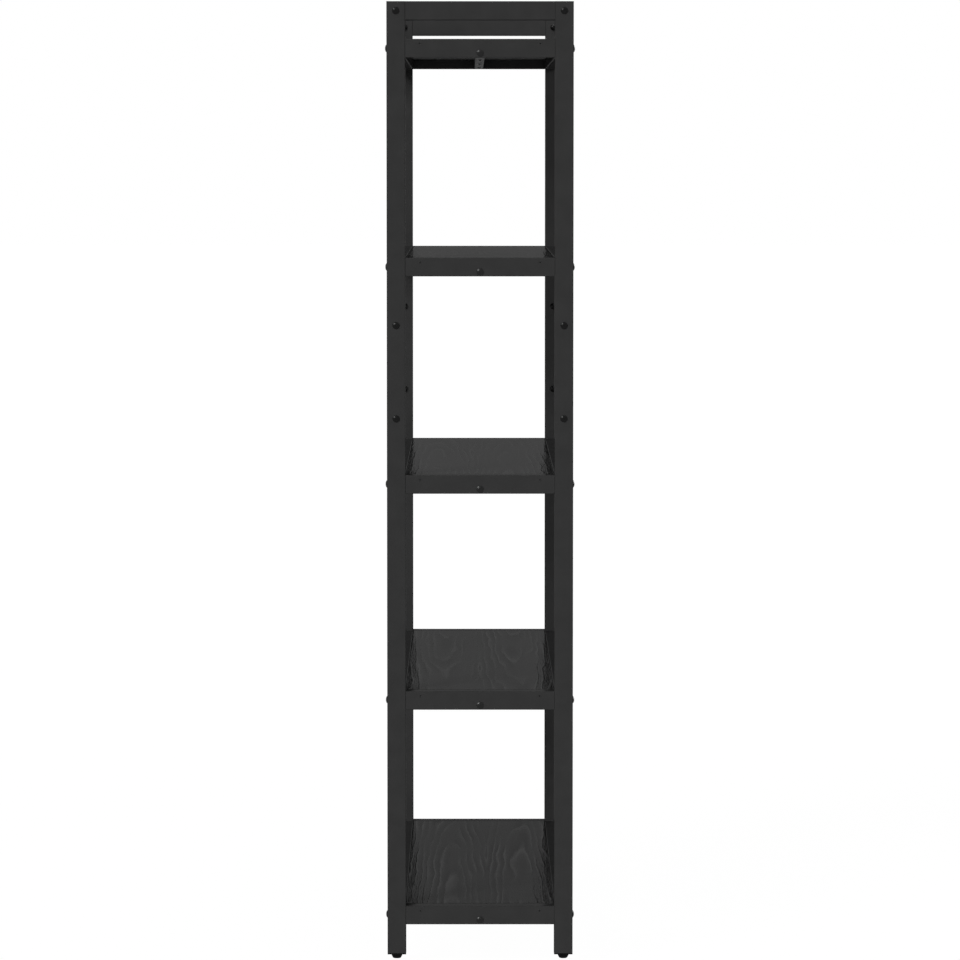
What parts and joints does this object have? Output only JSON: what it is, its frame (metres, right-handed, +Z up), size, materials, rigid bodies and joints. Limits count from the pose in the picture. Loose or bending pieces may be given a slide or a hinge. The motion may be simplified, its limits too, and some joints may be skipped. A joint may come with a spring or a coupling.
{
  "type": "bookcase",
  "caption": "Free-standing open bookcase with a black square-tube steel frame, wood-grain shelf boards, guard rails at the top of both ends and levelling feet.",
  "frame": {"origin": "on the floor, in the middle of the footprint", "axes": "+Z up, +X to the front (the depth), +Y to the right end (the length)"},
  "size_m": [0.3052, 1.0052, 1.547],
  "materials": {
    "frame_paint": "fine black powder coat",
    "board_laminate": "black wood-grain laminate, satin",
    "bar_zinc": "zinc plated",
    "inner_steel": "plain steel",
    "fastener_black": "black oxide",
    "plug_plastic": "moulded black plastic",
    "foot_plastic": "moulded black plastic"
  },
  "bodies": {
    "frame": {"board_screws": "fastener_black", "end_rail_bolts": "fastener_black", "end_rail_left_1": "frame_paint", "end_rail_left_2": "frame_paint", "end_rail_left_3": "frame_paint", "end_rail_left_4": "frame_paint", "end_rail_left_5": "frame_paint", "end_rail_right_1": "frame_paint", "end_rail_right_2": "frame_paint", "end_rail_right_3": "frame_paint", "end_rail_right_4": "frame_paint", "end_rail_right_5": "frame_paint", "foot_nuts": "inner_steel", "foot_plug_front_left": "plug_plastic", "foot_plug_front_right": "plug_plastic", "foot_plug_rear_left": "plug_plastic", "foot_plug_rear_right": "plug_plastic", "guard_corner_blocks": "plug_plastic", "guard_rail_left": "frame_paint", "guard_rail_right": "frame_paint", "long_rail_front_1": "frame_paint", "long_rail_front_2": "frame_paint", "long_rail_front_3": "frame_paint", "long_rail_front_4": "frame_paint", "long_rail_front_5": "frame_paint", "long_rail_rear_1": "frame_paint", "long_rail_rear_2": "frame_paint", "long_rail_rear_3": "frame_paint", "long_rail_rear_4": "frame_paint", "long_rail_rear_5": "frame_paint", "post_bolts": "fastener_black", "post_cap_nuts": "fastener_black", "post_front_left_lower": "frame_paint", "post_front_left_upper": "frame_paint", "post_front_right_lower": "frame_paint", "post_front_right_upper": "frame_paint", "post_rear_left_lower": "frame_paint", "post_rear_left_upper": "frame_paint", "post_rear_right_lower": "frame_paint", "post_rear_right_upper": "frame_paint", "post_splice_front_left": "inner_steel", "post_splice_front_right": "inner_steel", "post_splice_rear_left": "inner_steel", "post_splice_rear_right": "inner_steel", "shelf_board_1": "board_laminate", "shelf_board_2": "board_laminate", "shelf_board_3": "board_laminate", "shelf_board_4": "board_laminate", "shelf_board_5": "board_laminate", "support_bar_1": "bar_zinc", "support_bar_2": "bar_zinc", "support_bar_3": "bar_zinc", "support_bar_4": "bar_zinc", "support_bar_5": "bar_zinc", "support_bar_bolts": "fastener_black", "support_bar_screws": "fastener_black"},
    "levelling_foot_front_left": {"foot_front_left": "foot_plastic"},
    "levelling_foot_front_right": {"foot_front_right": "foot_plastic"},
    "levelling_foot_rear_left": {"foot_rear_left": "foot_plastic"},
    "levelling_foot_rear_right": {"foot_rear_right": "foot_plastic"}
  },
  "joints": [
    {"name": "foot_front_left_height", "type": "slide", "parent": "frame", "child": "levelling_foot_front_left", "axis": [0, 0, -1], "range_m": [0, 0.01]},
    {"name": "foot_front_right_height", "type": "slide", "parent": "frame", "child": "levelling_foot_front_right", "axis": [0, 0, -1], "range_m": [0, 0.01]},
    {"name": "foot_rear_left_height", "type": "slide", "parent": "frame", "child": "levelling_foot_rear_left", "axis": [0, 0, -1], "range_m": [0, 0.01]},
    {"name": "foot_rear_right_height", "type": "slide", "parent": "frame", "child": "levelling_foot_rear_right", "axis": [0, 0, -1], "range_m": [0, 0.01]}
  ]
}
